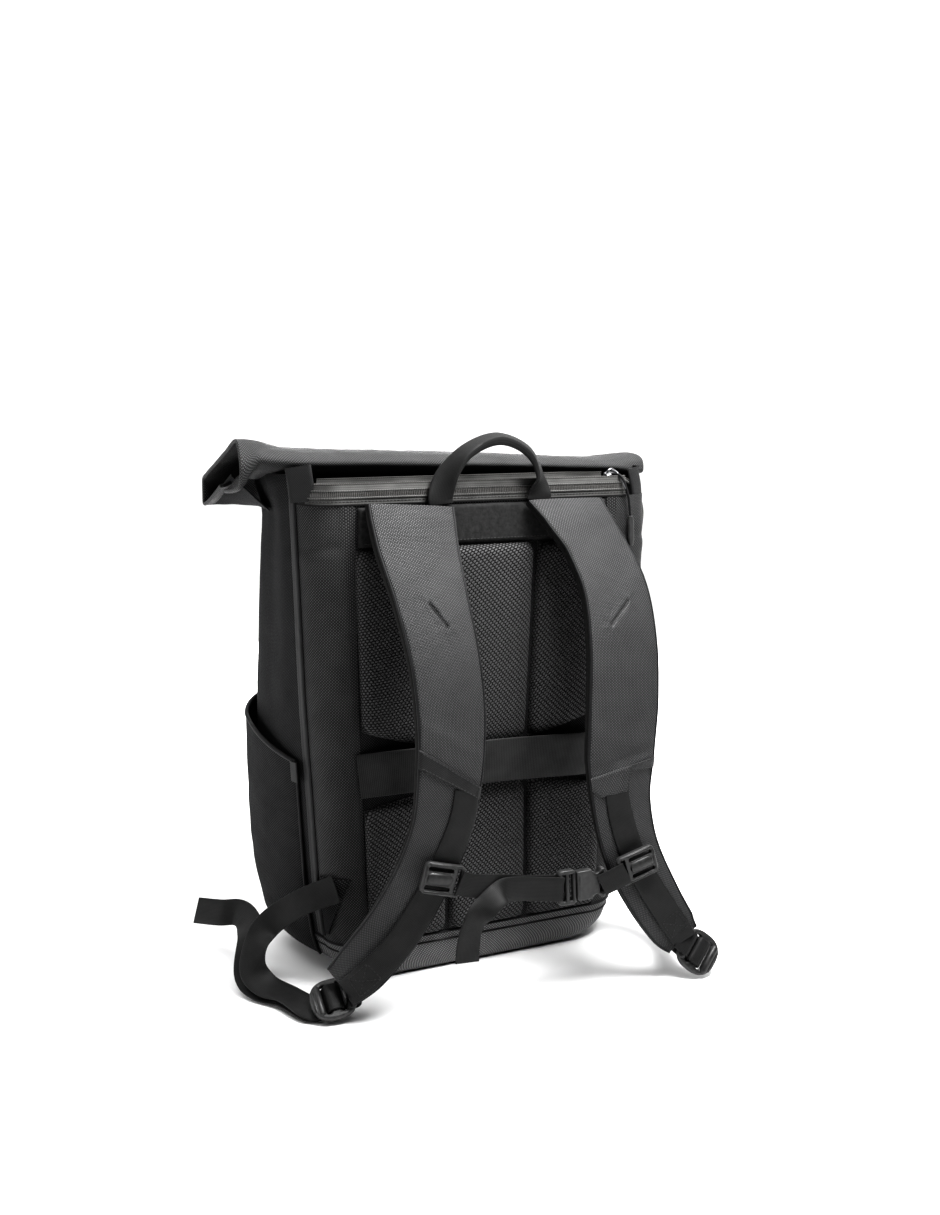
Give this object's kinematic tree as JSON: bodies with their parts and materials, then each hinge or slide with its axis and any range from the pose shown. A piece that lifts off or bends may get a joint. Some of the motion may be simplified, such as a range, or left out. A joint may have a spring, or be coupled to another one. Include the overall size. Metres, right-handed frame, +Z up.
{
  "type": "roll-top laptop backpack",
  "caption": "Tall roll-top backpack with a zipped laptop compartment, padded back, grab handle, curved padded shoulder straps, sternum strap and open side pockets.",
  "frame": {"origin": "middle of the base on the floor", "axes": "+Z up, -Y out of the padded back and harness, +Y out of the front, -X to the wearer's left"},
  "size_m": [0.458, 0.3227, 0.5023],
  "materials": {
    "shell": "coated black nylon, smooth to coarse weave",
    "mesh": "black perforated spacer mesh",
    "webbing": "black ribbed nylon webbing",
    "plastic": "satin moulded acetal",
    "zip": "coil zip on woven tape",
    "metal": "blackened die-cast metal with worn edges"
  },
  "bodies": {
    "root": {"back_panel": "shell", "gusset_left": "shell", "gusset_right": "shell", "side_panel_left": "shell", "side_panel_right": "shell", "front_panel": "shell", "base_tray": "shell", "divider": "shell", "collar": "shell", "roll_top": "shell", "ear_left": "shell", "ear_right": "shell", "yoke": "shell", "edge_binding_left": "shell", "edge_binding_right": "shell", "side_pocket_left": "shell", "side_pocket_right": "shell", "shoulder_strap_left": "shell", "shoulder_strap_right": "shell", "anchor_tab_left": "shell", "anchor_tab_right": "shell", "pad_upper_left": "mesh", "pad_upper_center": "mesh", "pad_upper_right": "mesh", "pad_lower_left": "mesh", "pad_lower_center": "mesh", "pad_lower_right": "mesh", "trolley_band": "webbing", "grab_handle": "webbing", "zip_pull_cord": "webbing", "zip_tab_left": "webbing", "zip_tab_right": "webbing", "pocket_tab_left": "webbing", "pocket_tab_right": "webbing", "hem_band_left": "webbing", "hem_band_right": "webbing", "rail_left": "webbing", "rail_right": "webbing", "lower_web_left": "webbing", "lower_web_right": "webbing", "sternum_web_left": "webbing", "sternum_web_right": "webbing", "sternum_tail": "webbing", "closure_web": "webbing", "zip_pull_tip": "plastic", "ladderlock_left": "plastic", "ladderlock_right": "plastic", "sternum_slider_left": "plastic", "sternum_slider_right": "plastic", "buckle_plug": "plastic", "buckle_socket": "plastic", "closure_clasp": "plastic", "zip_tape_rear": "zip", "zip_tape_front": "zip", "zip_side": "zip", "zip_slider": "metal"}
  },
  "joints": []
}
